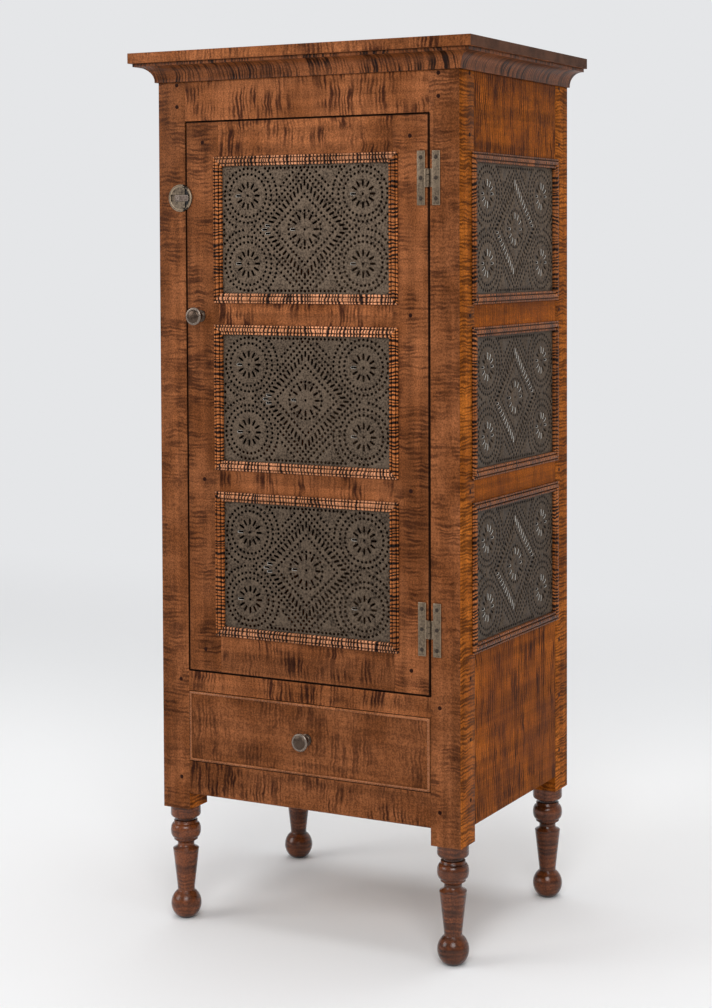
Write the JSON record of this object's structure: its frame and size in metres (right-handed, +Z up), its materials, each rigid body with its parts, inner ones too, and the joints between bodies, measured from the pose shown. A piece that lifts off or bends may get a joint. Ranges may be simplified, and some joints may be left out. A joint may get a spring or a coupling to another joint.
{
  "type": "pie safe",
  "caption": "Upright maple food cupboard on turned legs, with punched tin panels in its hinged door and sides, a sliding-bolt latch and a drawer below.",
  "frame": {"origin": "on the floor, under the middle of the top board's outline", "axes": "+X to the right seen from the front, -Y out of the front, +Z up"},
  "size_m": [0.6474, 0.4786, 1.4969],
  "materials": {
    "front_maple": "curly maple, reddish brown dye under a hand-rubbed oil and varnish",
    "side_maple": "curly maple, amber brown dye under a hand-rubbed oil and varnish",
    "pale_maple": "strongly figured curly maple moulding, varnished",
    "inner_maple": "plain maple, sealed and left pale",
    "aged_tin": "tinplate darkened to a dull grey brown, punched from behind",
    "pewter": "cast and tumbled, antique pewter colour",
    "dark_metal": "turned knob with a dark bronze patina"
  },
  "bodies": {
    "case": {"post_front_left": "front_maple", "post_front_right": "front_maple", "post_back_left": "front_maple", "post_back_right": "front_maple", "front_bottom_rail": "front_maple", "front_middle_rail": "front_maple", "front_top_rail": "front_maple", "side_bottom_rail_left": "side_maple", "side_lower_rail_left": "side_maple", "side_upper_rail_left": "side_maple", "side_top_rail_left": "side_maple", "side_bottom_rail_right": "side_maple", "side_lower_rail_right": "side_maple", "side_upper_rail_right": "side_maple", "side_top_rail_right": "side_maple", "back_panel": "inner_maple", "shelf_lower": "inner_maple", "shelf_upper": "inner_maple", "cupboard_floor": "inner_maple", "top_board": "front_maple", "crown_moulding": "front_maple", "left_tin_1": "aged_tin", "left_tin_frame_1": "pale_maple", "left_tin_2": "aged_tin", "left_tin_frame_2": "pale_maple", "left_tin_3": "aged_tin", "left_tin_frame_3": "pale_maple", "right_tin_1": "aged_tin", "right_tin_frame_1": "pale_maple", "right_tin_2": "aged_tin", "right_tin_frame_2": "pale_maple", "right_tin_3": "aged_tin", "right_tin_frame_3": "pale_maple", "hinge_upper_post_leaf": "pewter", "hinge_lower_post_leaf": "pewter", "latch_plate": "pewter"},
    "door": {"door_latch_stile": "front_maple", "door_hinge_stile": "front_maple", "door_bottom_rail": "front_maple", "door_lower_rail": "front_maple", "door_upper_rail": "front_maple", "door_top_rail": "front_maple", "door_tin_1": "aged_tin", "door_tin_frame_1": "pale_maple", "door_tin_2": "aged_tin", "door_tin_frame_2": "pale_maple", "door_tin_3": "aged_tin", "door_tin_frame_3": "pale_maple", "door_knob": "dark_metal", "hinge_upper_door_leaf": "pewter", "hinge_lower_door_leaf": "pewter", "latch_keeper": "pewter"},
    "latch_bolt": {"latch_bolt": "pewter"},
    "drawer": {"drawer_front": "front_maple", "drawer_cock_bead": "front_maple", "drawer_left_side": "inner_maple", "drawer_right_side": "inner_maple", "drawer_back": "inner_maple", "drawer_bottom": "inner_maple", "drawer_knob": "dark_metal"}
  },
  "joints": [
    {"name": "door_swing", "type": "hinge", "parent": "case", "child": "door", "pos_m": [0.23135, -0.20425, 0.9], "axis": [0, 0, 1], "range_deg": [0, 170]},
    {"name": "drawer_slide", "type": "slide", "parent": "case", "child": "drawer", "axis": [0, -1, 0], "range_m": [0, 0.3]},
    {"name": "bolt_slide", "type": "slide", "parent": "case", "child": "latch_bolt", "axis": [-1, 0, 0], "range_m": [0, 0.0086]}
  ]
}
